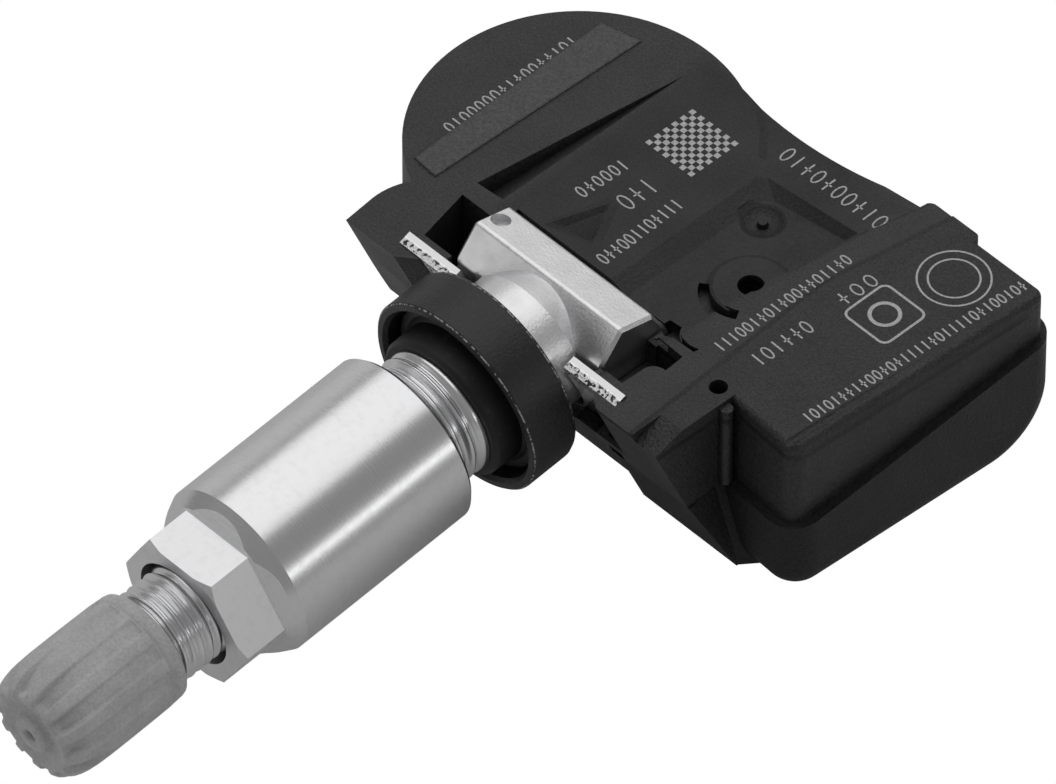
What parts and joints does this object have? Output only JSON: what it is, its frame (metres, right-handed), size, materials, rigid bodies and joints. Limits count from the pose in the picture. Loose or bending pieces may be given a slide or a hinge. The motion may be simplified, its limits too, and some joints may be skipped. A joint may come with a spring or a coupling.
{
  "type": "tyre pressure sensor",
  "caption": "Tyre pressure sensor: clamp-in metal valve with ring nut, rubber seal and cap, swivelling on a cross bar in a flat black plastic housing.",
  "frame": {"origin": "on the valve's axis, in the plane where the sealing rubber's flange meets the inside of the rim", "axes": "+Y from the valve cap towards the back of the housing, +X along the cross bar towards the deep block, +Z out of the housing's top face; the valve's axis droops 5.5 degrees below -Y"},
  "size_m": [0.0479, 0.0779, 0.0193],
  "materials": {
    "valve_metal": "satin",
    "nut_metal": "turned",
    "cap_plastic": "matte",
    "seal_rubber": "matte",
    "ring_coating": "satin black",
    "plate_steel": "sheared edge",
    "housing_plastic": "fine grain",
    "core_brass": "satin",
    "spring_steel": "bright",
    "board_laminate": "matte",
    "cell_steel": "satin",
    "nickel_strip": "satin",
    "chip_plastic": "matte",
    "crystal_can": "bright",
    "capacitor_ceramic": "matte",
    "ferrite": "matte",
    "copper_winding": "satin",
    "antenna_brass": "satin"
  },
  "bodies": {
    "housing": {"upper_housing": "housing_plastic", "lower_cover": "housing_plastic", "retaining_plate": "plate_steel", "circuit_board": "board_laminate", "battery_cell": "cell_steel", "battery_tab_lower": "nickel_strip", "battery_tab_upper": "nickel_strip", "sensor_chip": "chip_plastic", "port_seal": "seal_rubber", "transmitter_chip": "chip_plastic", "crystal": "crystal_can", "capacitors": "capacitor_ceramic", "coil_core": "ferrite", "coil_winding": "copper_winding", "rf_antenna": "antenna_brass"},
    "valve": {"valve_stem": "valve_metal", "rubber_grommet": "seal_rubber", "support_ring": "ring_coating", "core_body": "core_brass", "core_gasket": "seal_rubber", "core_spring": "spring_steel"},
    "nut": {"valve_nut": "nut_metal"},
    "cap_carriage": {"cap_seal": "seal_rubber"},
    "cap": {"valve_cap": "cap_plastic"},
    "plunger": {"core_pin": "core_brass", "core_seat": "seal_rubber"}
  },
  "joints": [
    {"name": "valve_swivel", "type": "hinge", "parent": "housing", "child": "valve", "pos_m": [0, 0.01045, 0.00101], "axis": [1, 0, 0], "range_deg": [-10, 8]},
    {"name": "nut_turn", "type": "hinge", "parent": "valve", "child": "nut", "pos_m": [0, -0.01493, -0.00144], "axis": [0, -0.9954, -0.0958], "continuous": true},
    {"name": "cap_slide", "type": "slide", "parent": "valve", "child": "cap_carriage", "axis": [0, -0.9954, -0.0958], "range_m": [0, 0.0079]},
    {"name": "cap_turn", "type": "hinge", "parent": "cap_carriage", "child": "cap", "pos_m": [0, -0.03484, -0.00335], "axis": [0, -0.9954, -0.0958], "range_deg": [0, 3600]},
    {"name": "core_press", "type": "slide", "parent": "valve", "child": "plunger", "axis": [0, 0.9954, 0.0958], "range_m": [0, 0.0012], "stiffness_N_per_m": 1500, "springref_m": -0.001, "deforming": ["core_spring"]}
  ],
  "couplings": [
    {"joint": "cap_turn", "follows": "cap_slide", "rad_per_m": 7913.3}
  ]
}
